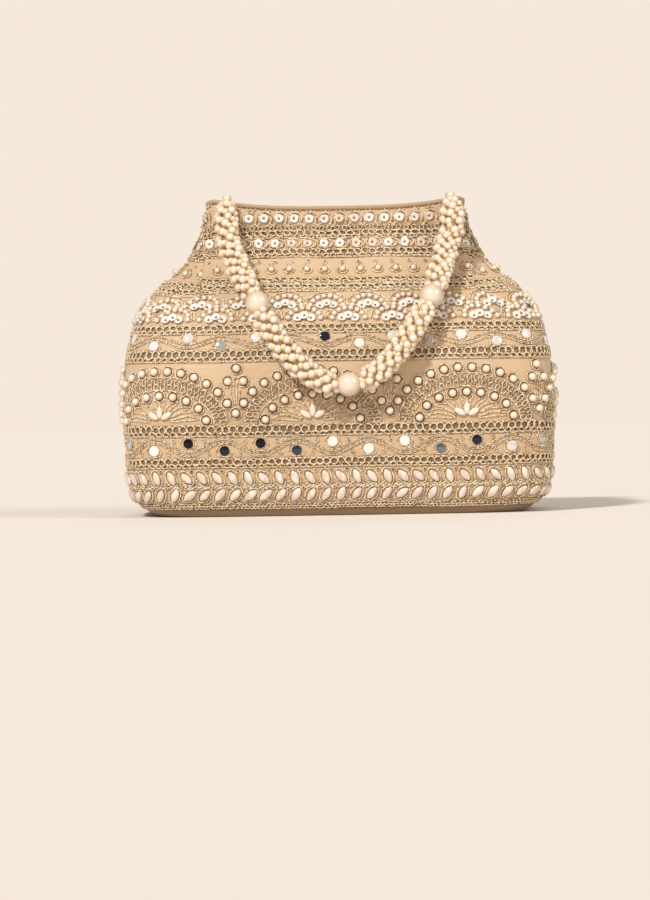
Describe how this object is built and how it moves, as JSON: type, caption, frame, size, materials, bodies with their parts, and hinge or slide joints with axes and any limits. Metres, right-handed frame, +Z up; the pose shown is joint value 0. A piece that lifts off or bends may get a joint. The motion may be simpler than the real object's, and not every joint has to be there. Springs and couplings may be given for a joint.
{
  "type": "potli bag",
  "caption": "Stiff flat-based potli pouch with banded bead and mirror embroidery, a narrow lined mouth and a swinging pearl rope handle.",
  "frame": {"origin": "middle of the flat base on the surface it stands on", "axes": "+Z up, +X along the bag's width, the front with the draped handle faces -Y"},
  "size_m": [0.2178, 0.1402, 0.1593],
  "materials": {
    "silk": "champagne silk with gold thread",
    "lining": "plain matt cloth",
    "satin": "tan satin",
    "thread": "gold thread",
    "pearl": "cream pearl",
    "accent_pearl": "cream pearl",
    "snap_metal": "polished"
  },
  "bodies": {
    "bag_body": {"outer_shell": "silk", "base_panel": "satin", "lining": "lining", "mouth_binding": "satin", "snap_stud": "snap_metal", "snap_socket": "snap_metal", "handle_tab_left": "satin", "handle_tab_right": "satin"},
    "handle": {"rope_cap_left": "thread", "rope_cap_right": "thread", "rope_left_upper": "pearl", "rope_left_lower": "pearl", "rope_right_lower": "pearl", "rope_right_upper": "pearl", "accent_pearl_left": "accent_pearl", "accent_pearl_centre": "accent_pearl", "accent_pearl_right": "accent_pearl"}
  },
  "joints": [
    {"name": "handle_swing", "type": "hinge", "parent": "bag_body", "child": "handle", "pos_m": [0.0015, -0.021, 0.1571], "axis": [-1, 0, 0], "range_deg": [0, 150]}
  ]
}
